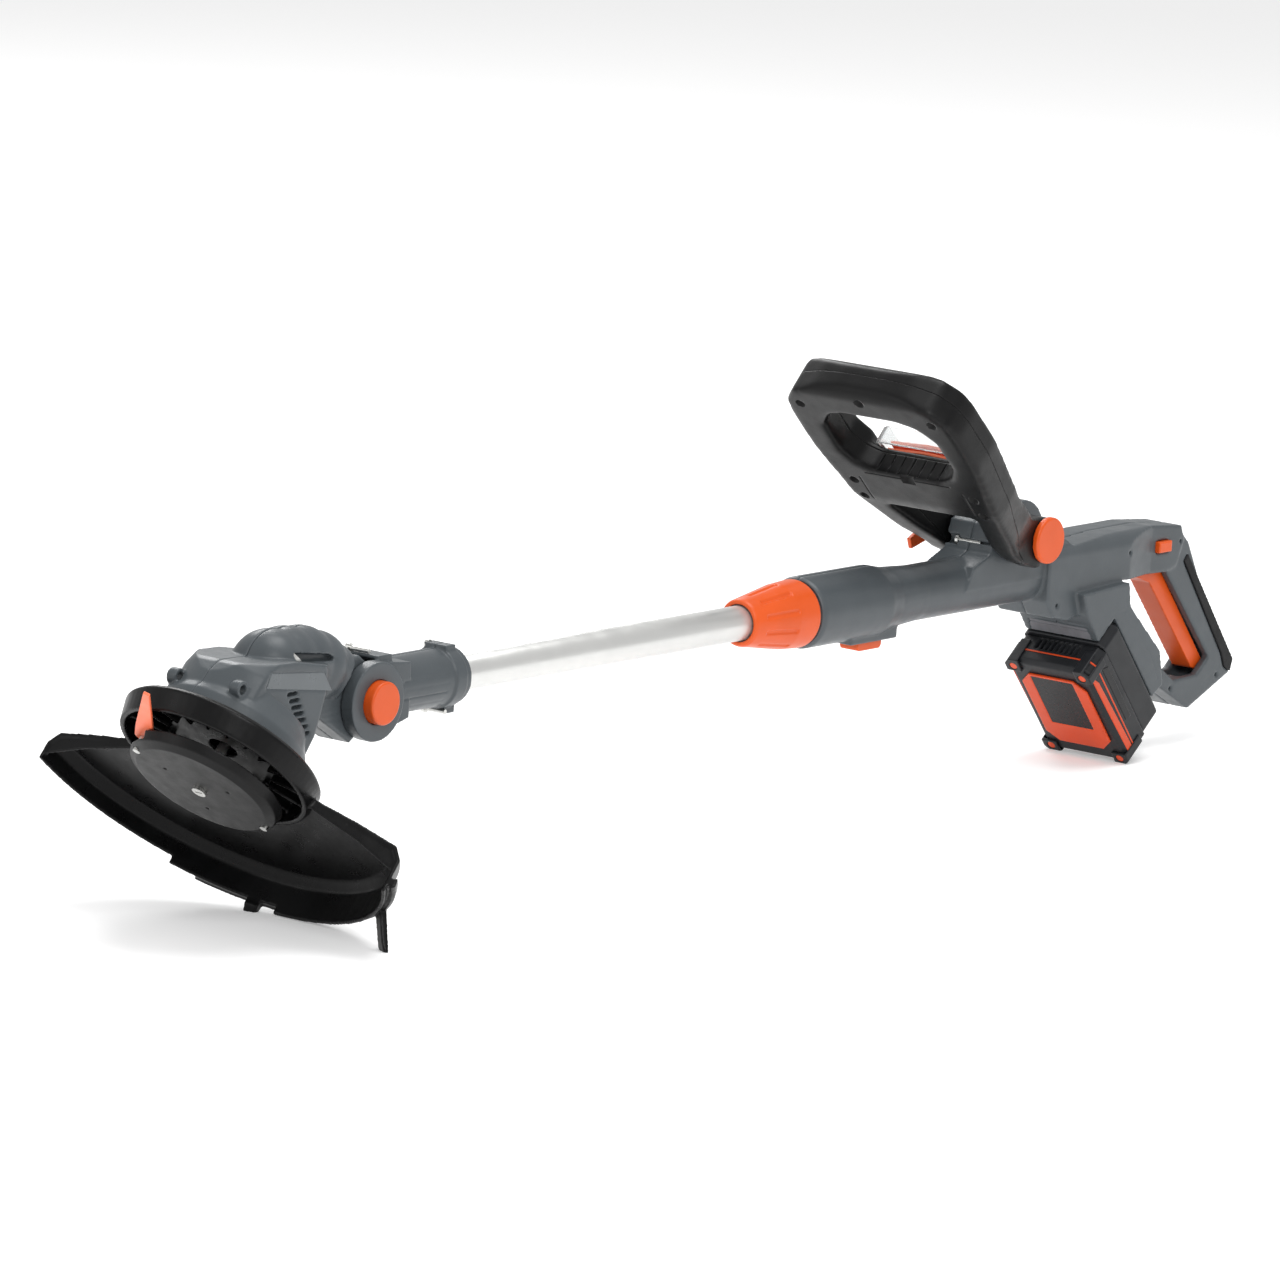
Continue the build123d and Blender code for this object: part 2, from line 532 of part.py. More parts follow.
FAN_BLADES = 11
with BuildPart() as fan:
    rod("z", 9, 40.5, 50)
    rod("z", 41, 50, 51.6)
    for index in range(FAN_BLADES):
        with Locations(Rot(0, 0, 360 / FAN_BLADES * index) * Pos(24, 0, 46) * Rot(0, 0, 18)):
            Box(32, 1.4, 9)
    rod("z", SHAFT_R + 0.02, 38, 54, mode=Mode.SUBTRACT)
finish(fan, "cooling_fan", HEAD)

# ---- guard: collar, vent plate, roof, skirt, lip and two feet ----
SKIRT_DROPS = [(-62, 68, -12.5), (6, 34, -7.0), (40, 50, -1.5)]
GUARD_FEET = [(-40, 160, -31.0), (13.5, 145, -16.5)]
VENT_RIBS = 18
GUARD_SCREWS = [(55, 170), (55, 50), (55, -70)]
with BuildPart() as guard:
    turned([(COLLAR_R - 7, COLLAR_LOW), (COLLAR_R - 3.5, COLLAR_LOW), (COLLAR_R, COLLAR_TOP - 3),
            (COLLAR_R - 3, COLLAR_TOP), (10, COLLAR_TOP), (10, COLLAR_TOP - 3), (COLLAR_R - 7, COLLAR_TOP - 3)])
    with PolarLocations(51, VENT_RIBS):
        with Locations((0, 0, COLLAR_TOP - 6)):
            Box(26, 2, 8)
    roof = [(COLLAR_R - 4, 27), (COLLAR_R - 4, 24), (104, 20.5), (GUARD_R - 9, 17), (GUARD_R - 3, 10),
            (GUARD_R - 2.5, 0), (GUARD_R, 0), (GUARD_R - 0.5, 12), (GUARD_R - 7, 20), (104, 24)]
    for start, sweep, drop in SKIRT_DROPS:
        profile = roof[:5] + [(GUARD_R - 2.5, drop), (GUARD_R, drop)] + roof[7:]
        revolve(outline(profile).rotate(Axis.Z, start), axis=Axis.Z, revolution_arc=sweep)
    lip = [(GUARD_R - 1, -3), (GUARD_R - 1, -6), (GUARD_R + 3, -8), (GUARD_R + 5, -6), (GUARD_R + 4, 0)]
    revolve(outline(lip).rotate(Axis.Z, GUARD_START), axis=Axis.Z, revolution_arc=94)
    for angle, radius, low in GUARD_FEET:
        foot = [(GUARD_R - 2, -4), (radius - 7, low + 5), (radius - 3, low), (radius + 1, low),
                (GUARD_R + 3, -2)]
        with Locations(Rot(0, 0, angle)):
            add(extrude(outline(foot), amount=5, both=True, mode=Mode.PRIVATE))
    for radius, angle in GUARD_SCREWS:
        rod("z", 2.0, COLLAR_TOP - 8, COLLAR_TOP + 1, polar(radius, angle)[:2], mode=Mode.SUBTRACT)
    # end ribs close the roof at both ends of the fan
    for angle in (GUARD_START + 0.8, GUARD_START + GUARD_SWEEP - 0.8):
        rib = [(COLLAR_R - 3, 26), (COLLAR_R - 3, 20), (110, 12), (GUARD_R - 2, 3), (GUARD_R - 2, 12),
               (GUARD_R - 8, 19), (104, 23)]
        with Locations(Rot(0, 0, angle)):
            add(extrude(outline(rib), amount=1, both=True, mode=Mode.PRIVATE))
    split(bisect_by=floor_in(HEAD), keep=Keep.TOP)
finish(guard, "guard", HEAD)

with BuildPart() as guard_screws:
    for radius, angle in GUARD_SCREWS:
        rod("z", 1.9, COLLAR_TOP - 5, COLLAR_TOP + 0.3, polar(radius, angle)[:2])
        rod("z", 3.4, COLLAR_TOP - 7, COLLAR_TOP - 5, polar(radius, angle)[:2])
finish(guard_screws, "guard_screws", HEAD)

# ---- blade carrier, pins and blade ----
BLADE_PIN = polar(PIN_RING, 180 - 41)
BALANCE_PIN = polar(PIN_RING, -41)
PIN_R = 2.6
with BuildPart() as carrier:
    turned([(0, 0), (DISC_R - 8, 0), (DISC_R - 2, 3), (DISC_R, DISC_TOP), (DISC_R - 2.4, DISC_TOP),
            (DISC_R - 4, 4.6), (DISC_R - 9, 2.4), (12, 2.4), (10, 9), (0, 9)])
    rod("z", SHAFT_R + 0.02, 3, 12, mode=Mode.SUBTRACT)
    rod("z", 2.2, -1, 4, mode=Mode.SUBTRACT)
    with Locations(Location((BLADE_PIN[0], BLADE_PIN[1], 9), (0, 0, 139))):
        Box(30, 34, 8.4, mode=Mode.SUBTRACT)
    for pin in (BLADE_PIN, BALANCE_PIN):
        rod("z", PIN_R + 0.02, -1, 12, pin[:2], mode=Mode.SUBTRACT)
    with PolarLocations(27, 3, start_angle=20):
        Cylinder(1.2, 3, mode=Mode.SUBTRACT)
finish(carrier, "blade_carrier", HEAD)

with BuildPart() as carrier_screw:
    rod("z", 2.0, -0.02, 9)
    rod("z", 5.0, -2.2, -0.02)
    Box(1, 6, 2.4, align=(Align.CENTER, Align.CENTER, Align.MAX), mode=Mode.SUBTRACT)
finish(carrier_screw, "carrier_screw", HEAD)

with BuildPart() as blade_pin:
    rod("z", PIN_R, 0.0, 15.8, BLADE_PIN[:2])
    rod("z", 4.2, 14.4, 15.8, BLADE_PIN[:2])
finish(blade_pin, "blade_pin", HEAD)

with BuildPart() as balance_pin:
    rod("z", PIN_R, -0.8, 10, BALANCE_PIN[:2])
finish(balance_pin, "balance_pin", HEAD)

BLADE_ANGLE = 180 + 33
with BuildPart() as blade:
    with BuildSketch(Plane.XY.offset(11)):
        Circle(7)
        with BuildLine():
            Polyline((0, -7), (18, -6.5), (BLADE_LENGTH, -2), (BLADE_LENGTH, 2.5), (20, 6), (0, 7), close=True)
        make_face()
    extrude(amount=2)
    slab([(9, 12.5), (20, 15.4), (BLADE_LENGTH - 14, 15.4), (BLADE_LENGTH - 2, 12.5)], 0.9)
    rod("z", PIN_R + FIT, 10, 16, mode=Mode.SUBTRACT)
blade.part.move(Location(BLADE_PIN, (0, 0, BLADE_ANGLE)))
finish(blade, "cutting_blade", HEAD)

# ==== front handle, in the HANDLE frame: x up along the loop, z towards the rear, y to the left ====
LOOP_FRONT = -45.0
LOOP_BACK = -13.0
LOOP_SEAM = -27.0
HANDLE_PLAN = [(217, -20), (217, 20), (215, 40), (209, 60), (196, 71), (182, 74), (145, 74), (84, 64),
               (42, 52), (20, 42), (-24, 42), (-24, -42), (20, -42), (42, -52), (84, -64), (145, -74),
               (182, -74), (196, -71), (209, -60), (215, -40)]
LOOP_OPENING = [(190, -20), (190, 20), (185, 38), (172, 49), (142, 50), (128, 42), (122, 30), (122, -30),
                (128, -42), (142, -50), (172, -49), (185, -38)]
HANDLE_SIDE = [(217, -39), (212, -45), (90, -45), (43, -37), (10, -29), (-10, -20), (-17, -4),
               (-13, 10), (-5, 16.5), (5, 16.5), (30, -2), (75, -13), (211, -13), (217, -19)]
ARM_GAP = [(78, -39), (78, 39), (30, 24), (14, BOSS_HALF + 1.4), (-26, BOSS_HALF + 1.4),
           (-26, -BOSS_HALF - 1.4), (14, -BOSS_HALF - 1.4), (30, -24)]
CASE_BAY = [(80, -40), (80, 40), (128, 43), (128, -43)]
HANDLE_SCREWS = [(195, 58), (207, 0), (195, -58), (107, 53), (107, -53), (88, 53), (88, -53)]

with BuildPart() as loop_inside:
    extrude(outline(HANDLE_PLAN, WALL, Plane.XY.offset(LOOP_FRONT + WALL)), amount=LOOP_BACK - LOOP_FRONT - 2 * WALL)
    extrude(outline(LOOP_OPENING, -WALL, Plane.XY.offset(LOOP_FRONT - 1)), amount=60, mode=Mode.SUBTRACT)
    block((-40, -90, -60), (84, 90, 40), mode=Mode.SUBTRACT)
    for x, y in HANDLE_SCREWS:
        rod("z", 6, LOOP_FRONT, 0, (x, y), mode=Mode.SUBTRACT)
    slab([(80, -60), (122 + WALL, -60), (122 + WALL, 20), (80, 20)], 45, mode=Mode.SUBTRACT)

with BuildPart() as front_handle:
    extrude(outline(HANDLE_PLAN, plane=Plane.XY.offset(LOOP_FRONT - 1)), amount=70)
    slab(HANDLE_SIDE, 90, mode=Mode.INTERSECT)
    extrude(outline(LOOP_OPENING, plane=Plane.XY.offset(LOOP_FRONT - 1)), amount=70, mode=Mode.SUBTRACT)
    extrude(outline(ARM_GAP, plane=Plane.XY.offset(LOOP_FRONT - 1)), amount=70, mode=Mode.SUBTRACT)
    extrude(outline(CASE_BAY, plane=Plane.XY.offset(-22)), amount=40, mode=Mode.SUBTRACT)
    add(loop_inside.part, mode=Mode.SUBTRACT)
    rod("y", 4.05, -60, 60, mode=Mode.SUBTRACT)
    for x, y in HANDLE_SCREWS:
        rod("z", 4.0, LOOP_FRONT - 1, LOOP_FRONT + 12, (x, y), mode=Mode.SUBTRACT)
        rod("z", 1.7, LOOP_FRONT + 10, LOOP_BACK - 3, (x, y), mode=Mode.SUBTRACT)

seam = Plane.XY.offset(LOOP_SEAM)
for name, keep in (("front_handle_front", Keep.BOTTOM), ("front_handle_back", Keep.TOP)):
    with BuildPart() as shell:
        add(front_handle.part)
        split(bisect_by=seam, keep=keep)
    finish(shell, name, HANDLE)

with BuildPart() as handle_screws:
    for x, y in HANDLE_SCREWS:
        rod("z", 3.6, LOOP_FRONT + 9.5, LOOP_FRONT + 12, (x, y))
        rod("z", 1.65, LOOP_FRONT + 12, LOOP_BACK - 4, (x, y))
finish(handle_screws, "front_handle_screws", HANDLE)

CASE = ((82, -38, -21.8), (126, 38, -5))
with BuildPart() as case_cover:
    block(*CASE)
    chamfer(case_cover.edges().filter_by(Axis.Y).group_by(Axis.Z)[-1], 3)
    block((CASE[0][0] + 1.6, -36.4, -23), (CASE[1][0] - 1.6, 36.4, -3.6), mode=Mode.SUBTRACT)
finish(case_cover, "blade_case_cover", HANDLE)

with BuildPart() as spare_blades:
    for layer in range(2):
        z = -20.5 + 6 * layer
        extrude(outline([(88, -34), (97, -34), (100, 0), (98, 34), (90, 34), (87, 0)],
                        plane=Plane.XY.offset(z)), amount=2)
        extrude(outline([(106, -34), (115, -34), (118, 0), (116, 34), (108, 34), (105, 0)],
                        plane=Plane.XY.offset(z)), amount=2)
finish(spare_blades, "spare_blades", HANDLE)

ARM_FACE = 42.0
LEVER_PIN = ARM_FACE + 7.0
LEVER = Plane(HANDLE.location * Location((0, 0, 0), (0, 154, 0)))
LEVER_FACE = Plane(origin=(0, -LEVER_PIN - 3.2, 0), x_dir=(1, 0, 0), z_dir=(0, -1, 0))
LEVER_AXIS = Location((0, -LEVER_PIN, 0), (0, 90, 0))
with BuildPart() as clamp_bolt:
    rod("y", 4.0, -LEVER_PIN - 4.5, ARM_FACE - 1)
    with Locations(LEVER_AXIS):
        Cylinder(1.6, 12, mode=Mode.SUBTRACT)
finish(clamp_bolt, "handle_clamp_bolt", LEVER)

with BuildPart() as lever_pin:
    with Locations(LEVER_AXIS):
        Cylinder(1.55, 14.8)
finish(lever_pin, "lever_pin", LEVER)

with BuildPart() as lever:
    with Locations(LEVER_AXIS):
        Cylinder(6.6, 15)
    extrude(outline([(-7.5, -2), (7.5, -2), (6, 20), (4, 38), (-4, 38), (-6, 20)],
                    plane=LEVER_FACE), amount=3.4)
    rod("y", 4.3, -LEVER_PIN - 4.9, -ARM_FACE + 1, mode=Mode.SUBTRACT)
    block((-4.3, -LEVER_PIN - 8, -12), (4.3, -ARM_FACE, 8), mode=Mode.SUBTRACT)
    with Locations(LEVER_AXIS):
        Cylinder(1.65, 20, mode=Mode.SUBTRACT)
finish(lever, "clamp_lever", LEVER)

with BuildPart() as knob:
    rod("y", 17.0, ARM_FACE + 0.1, ARM_FACE + 5)
    rod("y", 4.0, ARM_FACE - 0.98, ARM_FACE + 1)
    chamfer(knob.edges().filter_by(GeomType.CIRCLE).sort_by(Axis.Y)[-1], 1.2)
finish(knob, "clamp_knob", HANDLE)
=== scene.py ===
"""Looks of the string trimmer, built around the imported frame."""
import json
from math import cos, pi, radians, sin

import bmesh
import bpy
from mathutils import Matrix, Vector


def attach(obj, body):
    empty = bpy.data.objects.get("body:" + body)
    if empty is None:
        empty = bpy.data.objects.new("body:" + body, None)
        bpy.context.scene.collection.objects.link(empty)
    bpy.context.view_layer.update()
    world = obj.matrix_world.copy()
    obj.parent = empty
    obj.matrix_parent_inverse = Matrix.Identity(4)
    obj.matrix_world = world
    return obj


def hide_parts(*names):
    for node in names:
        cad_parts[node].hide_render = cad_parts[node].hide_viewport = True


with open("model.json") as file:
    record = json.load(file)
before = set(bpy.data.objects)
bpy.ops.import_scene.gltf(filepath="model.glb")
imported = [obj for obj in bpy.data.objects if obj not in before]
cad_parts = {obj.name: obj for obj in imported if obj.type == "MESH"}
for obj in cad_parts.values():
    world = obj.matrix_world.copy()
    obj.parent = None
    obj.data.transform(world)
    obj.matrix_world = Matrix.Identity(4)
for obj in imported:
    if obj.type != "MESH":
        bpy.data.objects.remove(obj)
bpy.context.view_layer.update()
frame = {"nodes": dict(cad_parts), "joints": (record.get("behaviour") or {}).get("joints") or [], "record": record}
JOINTS = {joint["name"]: joint for joint in frame["joints"]}
MM = 0.001
SIDES = {"left": -1, "right": 1}

# driving dimensions of the CAD that the details follow, in millimetres and degrees
HEAD_LEAN = 40            # spindle axis from vertical
HANDLE_LEAN = 43.5        # loop handle from horizontal
BATTERY_LEAN = 50         # battery rails from horizontal
BATTERY_TOP = (804, -73)  # battery corner behind and below the tilt pivot
KNUCKLE = (85.4, 0, 130.6)  # tilt pivot, in the HEAD frame
NECK_HALF = 14.2          # half widths, each from the centre plane
BODY_HALF = 25
DOCK_HALF = 33
GRIP_HALF = 16
BADGE_HALF = 34.1
BATTERY_HALF = 37
BATTERY_LENGTH = 98
SLEEVE_R = 20
SHAFT_RISE = 3            # shaft axis above the tilt pivot
TUBE_R = 12.5
TUBE_ENDS = (34.0, 640.0)
LOOP_FACE = -45           # front face and seam of the loop handle
LOOP_SEAM = -27
HANDLE_SCREWS = [(195, 58), (207, 0), (195, -58), (107, 53), (107, -53), (88, 53), (88, -53)]
SHOULDER_LINE = [(-70, 66), (-45, 74), (-15, 98), (41, 131), (60, 150)]


# ---- local frames, from the joints ----
def local_frame(origin, x_axis, z_axis):
    """Matrix that takes a point in millimetres in a local frame to the row frame in metres."""
    x, z = Vector(x_axis).normalized(), Vector(z_axis).normalized()
    turn = Matrix((x, z.cross(x), z)).transposed().to_4x4()
    return Matrix.Translation(origin) @ turn @ Matrix.Scale(MM, 4)


def leaning(angle, lean):
    """X and Z axes of a frame whose X axis dips by an angle towards the rear, or the front."""
    a = radians(angle)
    return (lean * cos(a), 0, -lean * sin(a)), (sin(a), 0, cos(a))


pivot = JOINTS["head_tilt"]["pos_m"]
shaft_z = JOINTS["shaft_swivel"]["pos_m"][2]
TOOL = local_frame((pivot[0], 0, shaft_z), (1, 0, 0), (0, 0, 1))
PIVOT = local_frame(pivot, (1, 0, 0), (0, 0, 1))
HEAD = local_frame(JOINTS["spindle_spin"]["pos_m"], *leaning(HEAD_LEAN, 1))
HANDLE = local_frame(JOINTS["handle_tilt"]["pos_m"], *leaning(HANDLE_LEAN, -1))
battery_corner = (pivot[0] + BATTERY_TOP[0] * MM, 0, shaft_z + BATTERY_TOP[1] * MM)
BATTERY = local_frame(battery_corner, *leaning(BATTERY_LEAN, 1))


# ---- materials ----
class Shader:
    """Node tree being filled in, with short calls for the nodes used here."""

    def __init__(self, name):
        self.material = bpy.data.materials.new(name)
        self.material.use_nodes = True
        self.tree = self.material.node_tree
        self.surface = self.tree.nodes["Principled BSDF"]
        self.coords = self.tree.nodes.new("ShaderNodeTexCoord").outputs["Object"]

    def node(self, kind, settings=None, **inputs):
        made = self.tree.nodes.new(kind)
        for key, value in (settings or {}).items():
            setattr(made, key, value)
        for key, value in inputs.items():
            socket = made.inputs[key.replace("_", " ")]
            if isinstance(value, bpy.types.NodeSocket):
                self.tree.links.new(value, socket)
            else:
                socket.default_value = value
        return made

    def link(self, value, name):
        self.tree.links.new(value, self.surface.inputs[name])

    def noise(self, scale, detail=3.0, coords=None):
        made = self.node("ShaderNodeTexNoise", Vector=coords or self.coords, Scale=scale, Detail=detail)
        return made.outputs["Fac"]

    def spread(self, value, low, high, start=0.3, end=0.7):
        """Value, stretched from the range it mostly holds to the range from low to high."""
        made = self.node("ShaderNodeMapRange", Value=value, From_Min=start, From_Max=end, To_Min=low,
                         To_Max=high)
        return made.outputs["Result"]

    def relief(self, height, strength, distance):
        made = self.node("ShaderNodeBump", Strength=strength, Distance=distance, Height=height)
        self.link(made.outputs["Normal"], "Normal")


def tinted(color, factor):
    return tuple(min(1.0, c * factor) for c in color[:3]) + (1.0,)


def moulded(name, color, roughness, grain=900.0, bump=0.10, mottle=0.08, edge=1.6, metallic=0.0, streak=None,
            gloss=0.5):
    """Moulded plastic, rubber or metal: mottled colour, rubbed edges, uneven gloss and a fine grain.

    A streak squeezes the grain along an axis, for drawn metal.
    """
    s = Shader(name)
    ramp = s.node("ShaderNodeValToRGB", Fac=s.noise(38.0, 4.0))
    ramp.color_ramp.elements[0].position = 0.3
    ramp.color_ramp.elements[1].position = 0.7
    ramp.color_ramp.elements[0].color = tinted(color, 1 - mottle)
    ramp.color_ramp.elements[1].color = tinted(color, 1 + mottle)
    point = s.node("ShaderNodeNewGeometry").outputs["Pointiness"]
    rub = s.node("ShaderNodeMath", {"operation": "MULTIPLY"})
    s.tree.links.new(s.spread(point, 0.0, 0.55, 0.51, 0.58), rub.inputs[0])
    s.tree.links.new(s.spread(s.noise(160.0), 0.2, 1.0), rub.inputs[1])
    mix = s.node("ShaderNodeMix", {"data_type": "RGBA"})
    s.tree.links.new(rub.outputs[0], mix.inputs["Factor"])
    s.tree.links.new(ramp.outputs["Color"], mix.inputs[6])
    mix.inputs[7].default_value = tinted(color, edge)
    s.link(mix.outputs[2], "Base Color")
    s.link(s.spread(s.noise(90.0, 5.0), roughness - 0.05, roughness + 0.07), "Roughness")
    s.surface.inputs["Metallic"].default_value = metallic
    s.surface.inputs["Specular IOR Level"].default_value = gloss
    height = s.noise(grain, 2.0)
    if streak:
        squeeze = s.node("ShaderNodeMapping", Vector=s.coords, Scale=streak)
        height = s.noise(220.0, 3.0, squeeze.outputs["Vector"])
    s.relief(height, bump, 0.4 * MM)
    return s.material


MATERIALS = {
    "housing_grey": moulded("grey plastic", (0.066, 0.076, 0.083), 0.36, bump=0.14, mottle=0.05, gloss=0.34),
    "handle_black": moulded("black plastic", (0.0045, 0.0045, 0.0047), 0.36, bump=0.14, mottle=0.12, edge=2.0,
                            gloss=0.20),
    "guard_black": moulded("guard plastic", (0.0038, 0.0038, 0.004), 0.30, bump=0.08, mottle=0.15, edge=2.0,
                           gloss=0.17),
    "orange_plastic": moulded("orange plastic", (0.66, 0.085, 0.009), 0.34, bump=0.08, mottle=0.05, edge=1.15,
                              gloss=0.35),
    "blade_plastic": moulded("blade nylon", (0.90, 0.17, 0.07), 0.36, bump=0.08, mottle=0.06, edge=1.1),
    "rubber_black": moulded("grip rubber", (0.008, 0.008, 0.0085), 0.58, grain=620.0, bump=0.35, mottle=0.15,
                            edge=1.8, gloss=0.25),
    "tube_metal": moulded("satin aluminium", (0.66, 0.66, 0.645), 0.36, bump=0.05, mottle=0.02, edge=1.05,
                          metallic=0.75, streak=(0.06, 1.0, 1.0)),
    "steel": moulded("zinc steel", (0.60, 0.60, 0.58), 0.30, grain=500.0, bump=0.12, edge=1.2, metallic=1.0),
    "battery_charcoal": moulded("charcoal plastic", (0.014, 0.015, 0.017), 0.36, bump=0.14, edge=1.9,
                                gloss=0.25),
    "battery_orange": moulded("battery orange", (0.62, 0.058, 0.008), 0.36, mottle=0.05, edge=1.15,
                              gloss=0.35),
    "label_black": moulded("label film", (0.006, 0.006, 0.007), 0.26, grain=300.0, bump=0.03, mottle=0.05,
                           edge=1.2, gloss=0.25),
    "internal": moulded("inner plastic", (0.11, 0.11, 0.12), 0.50, mottle=0.10),
    "board_green": moulded("solder mask", (0.02, 0.14, 0.06), 0.30, mottle=0.12),
}


def clear_plastic():
    """Clear moulded cover, slightly uneven, with gloss from the shader alone."""
    s = Shader("clear plastic")
    s.surface.inputs["Base Color"].default_value = (0.93, 0.95, 0.95, 1.0)
    s.surface.inputs["Transmission Weight"].default_value = 0.85
    s.surface.inputs["IOR"].default_value = 1.45
    s.link(s.spread(s.noise(60.0), 0.06, 0.16), "Roughness")
    s.relief(s.noise(70.0), 0.15, 0.6 * MM)
    return s.material


MATERIALS["clear_plastic"] = clear_plastic()
SLOT_OF = {part["node"]: part["material_slot"] for part in frame["record"]["subparts"]}
for name, node in frame["nodes"].items():
    node.data.materials.clear()
    node.data.materials.append(MATERIALS[SLOT_OF[name]])


# ---- mesh helpers ----
def new_piece(name, mesh):
    piece = bpy.data.objects.new(name, mesh)
    bpy.context.scene.collection.objects.link(piece)
    return piece


def from_bmesh(name, shape, place):
    bmesh.ops.recalc_face_normals(shape, faces=shape.faces)
    mesh = bpy.data.meshes.new(name)
    shape.to_mesh(mesh)
    shape.free()
    mesh.transform(place)
    return new_piece(name, mesh)


def apply_all(piece):
    """Bake a piece's modifiers into its mesh."""
    bpy.context.view_layer.update()
    graph = bpy.context.evaluated_depsgraph_get()
    mesh = bpy.data.meshes.new_from_object(piece.evaluated_get(graph))
    piece.modifiers.clear()
    piece.data = mesh
    return piece


def prism(points, low, high, place, across="y"):
    """Solid between two parallel copies of an outline; across is the axis it is extruded along."""
    shape = bmesh.new()
    rings = []
    for depth in (low, high):
        ring = []
        for u, v in points:
            ring.append(shape.verts.new({"y": (u, depth, v), "z": (u, v, depth), "x": (depth, u, v)}[across]))
        rings.append(ring)
    shape.faces.new(rings[0])
    shape.faces.new(rings[1])
    count = len(points)
    for index in range(count):
        following = (index + 1) % count
        shape.faces.new((rings[0][index], rings[0][following], rings[1][following], rings[1][index]))
    return from_bmesh("prism", shape, place)


def rod(radius, start, end, place, segments=48):
    """Round bar along the local Z axis of place."""
    shape = bmesh.new()
    bmesh.ops.create_cone(shape, cap_ends=True, segments=segments, radius1=radius, radius2=radius,
                          depth=end - start, matrix=Matrix.Translation((0, 0, (start + end) / 2)))
    return from_bmesh("rod", shape, place)


def lathe(profile, place, segments=96):
    """Closed profile of (radius, height) pairs turned about the local Z axis."""
    shape = bmesh.new()
    rings = []
    for step in range(segments):
        a = 2 * pi * step / segments
        rings.append([shape.verts.new((r * cos(a), r * sin(a), z)) for r, z in profile])
    count = len(profile)
    for step in range(segments):
        here, there = rings[step], rings[(step + 1) % segments]
        for index in range(count):
            following = (index + 1) % count
            shape.faces.new((here[index], here[following], there[following], there[index]))
    return from_bmesh("lathe", shape, place)


def outwards(side, near, far):
    """Pair of depths, low then high, for a cutter or plate between two half widths on one side."""
    return sorted((side * near, side * far))


def copy_node(node):
    """Own copy of a CAD node's mesh, welded."""
    mesh = frame["nodes"][node].data.copy()
    shape = bmesh.new()
    shape.from_mesh(mesh)
    bmesh.ops.remove_doubles(shape, verts=shape.verts, dist=1e-6)
    shape.to_mesh(mesh)
    shape.free()
    return new_piece(node + "_skin", mesh)


def joined(piece, others):
    """Add the meshes of other closed solids to a piece; a later remesh makes them one skin."""
    shape = bmesh.new()
    shape.from_mesh(piece.data)
    for other in others:
        shape.from_mesh(other.data)
        bpy.data.objects.remove(other)
    shape.to_mesh(piece.data)
    shape.free()
    return piece


def cut(piece, cutters):
    """Subtract cutters, all at once, from a piece."""
    if not cutters:
        return piece
    tool = joined(cutters[0], cutters[1:])
    modifier = piece.modifiers.new("cut", "BOOLEAN")
    modifier.operation = "DIFFERENCE"
    modifier.solver = "EXACT"
    modifier.use_self = True
    modifier.object = tool
    apply_all(piece)
    bpy.data.objects.remove(tool)
    return piece


def soften(piece, voxel, rounds):
    """Remesh a solid at voxel millimetres and round its edges as a mould does."""
    remesh = piece.modifiers.new("remesh", "REMESH")
    remesh.mode = "VOXEL"
    remesh.voxel_size = voxel * MM
    if rounds:
        smooth = piece.modifiers.new("smooth", "SMOOTH")
        smooth.factor = 0.5
        smooth.iterations = rounds
    apply_all(piece)
    return piece


def dress(piece, name, body, slot, *replaced):
    """Name a piece, give it its finish and hang it on its body."""
    piece.name = name
    piece.data.name = name
    piece.data.materials.clear()
    piece.data.materials.append(MATERIALS[slot])
    for face in piece.data.polygons:
        face.use_smooth = True
        face.material_index = 0
    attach(piece, body)
    if replaced:
        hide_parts(*replaced)
    return piece


BODY_OF = {}
for body, members in frame["record"]["behaviour"]["bodies"].items():
    for member in members:
        BODY_OF[member] = body


def skin(node, voxel, rounds, cutters=(), extras=()):
    """Rounded, detailed stand-in for a CAD node."""
    piece = copy_node(node)
    cut(piece, list(cutters))
    joined(piece, list(extras))
    soften(piece, voxel, rounds)
    return dress(piece, node + "_skin", BODY_OF[node], SLOT_OF[node], node)


# ---- details cut into or added to the skins ----
def groove(points, level, place, width=1.1, depth=0.8, across="y"):
    """Thin cutters along a polyline drawn on a flat face; level is that face's height."""
    spill = 2
    if level > 0:
        low, high = level - depth, level + depth + spill
    else:
        low, high = level - depth - spill, level + depth
    bars = []
    for start, end in zip(points, points[1:]):
        start, end = Vector(start), Vector(end)
        along = (end - start).normalized() * width / 2
        side = Vector((-along.y, along.x))
        corners = [start - along + side, end + along + side, end + along - side, start - along - side]
        bars.append(prism([tuple(corner) for corner in corners], low, high, place, across))
    return bars


def head_cutters(side):
    """Takes the CAD hood off above the shoulders, and cuts the badge recess and neck ribs, on one side."""
    cutters = [prism(SHOULDER_LINE + [(60, 190), (-70, 190)], *outwards(side, -2, 60), HEAD)]
    badge = [(-33, 79), (13, 110), (31, 105), (-30, 66)]
    cutters.append(prism(badge, *outwards(side, BADGE_HALF, 38), HEAD))
    along, up = Vector((0.766, 0.643)), Vector((-0.643, 0.766))
    first_rib, rib_length = Vector((56, 96)), 22
    for index in range(5):
        start = first_rib + up * (3.6 * index - 2)
        cutters += groove([start, start + along * rib_length], side * NECK_HALF, HEAD, 1.3, 0.9)
    return cutters


